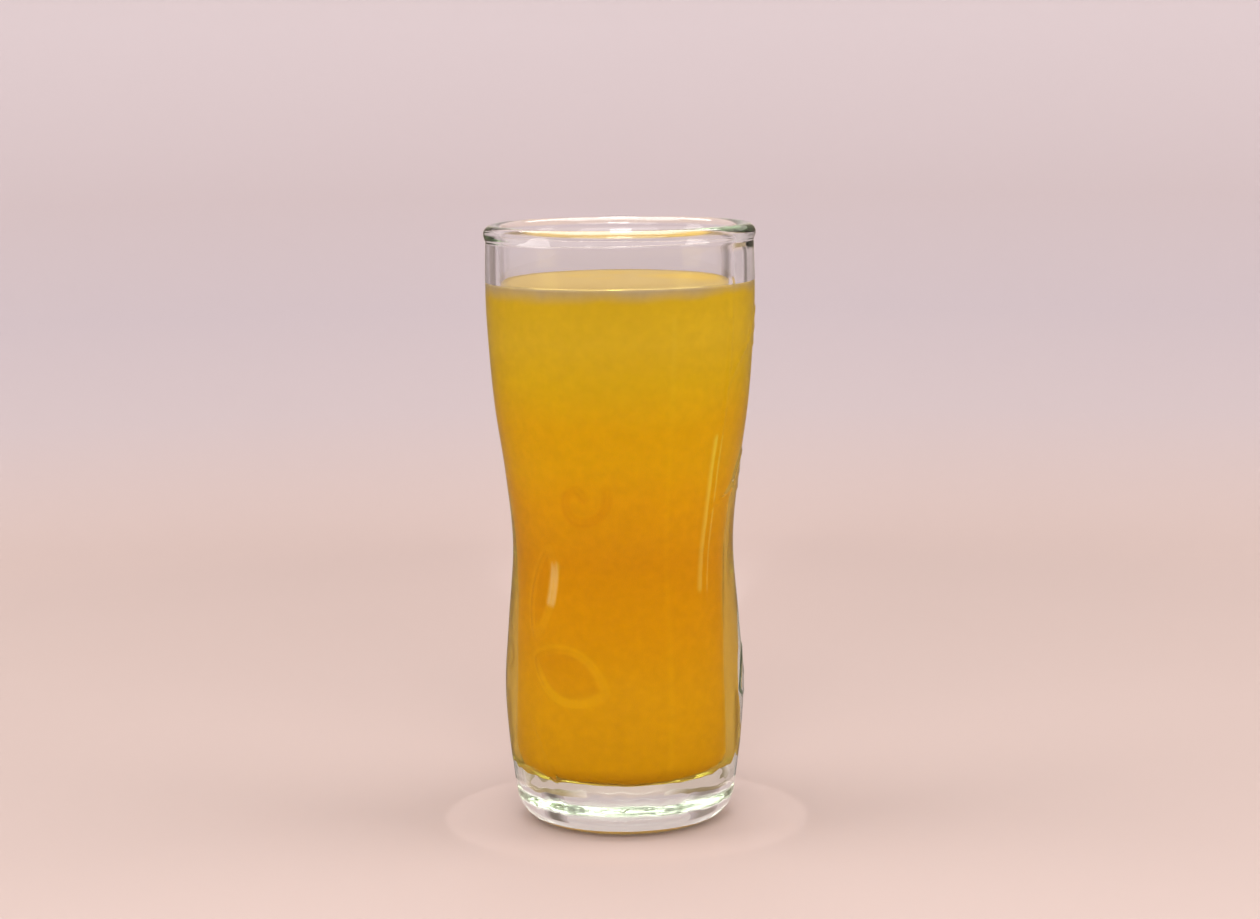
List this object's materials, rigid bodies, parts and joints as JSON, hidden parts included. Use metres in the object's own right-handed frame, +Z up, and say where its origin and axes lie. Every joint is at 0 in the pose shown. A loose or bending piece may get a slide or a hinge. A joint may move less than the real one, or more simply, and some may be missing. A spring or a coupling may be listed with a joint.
{
  "type": "glass of mango lassi",
  "caption": "Waisted clear tumbler with raised leaf sprigs, a rounded lip and a thick base, filled almost to the rim with mango lassi.",
  "frame": {"origin": "centre of the base, on the plane that the glass stands on", "axes": "+Z up along the glass's axis, -Y towards the front, which shows the broad leaf of the low sprig at the lower left, +X to the right"},
  "size_m": [0.0662, 0.0662, 0.147],
  "materials": {
    "clear_glass": "clear fire-polished pressed glass with a faint green tint in its thick parts",
    "mango_lassi": "opaque creamy drink, golden orange, paler and yellower near the surface, wet and smooth"
  },
  "bodies": {
    "root": {"glass": "clear_glass", "drink": "mango_lassi"}
  },
  "joints": []
}
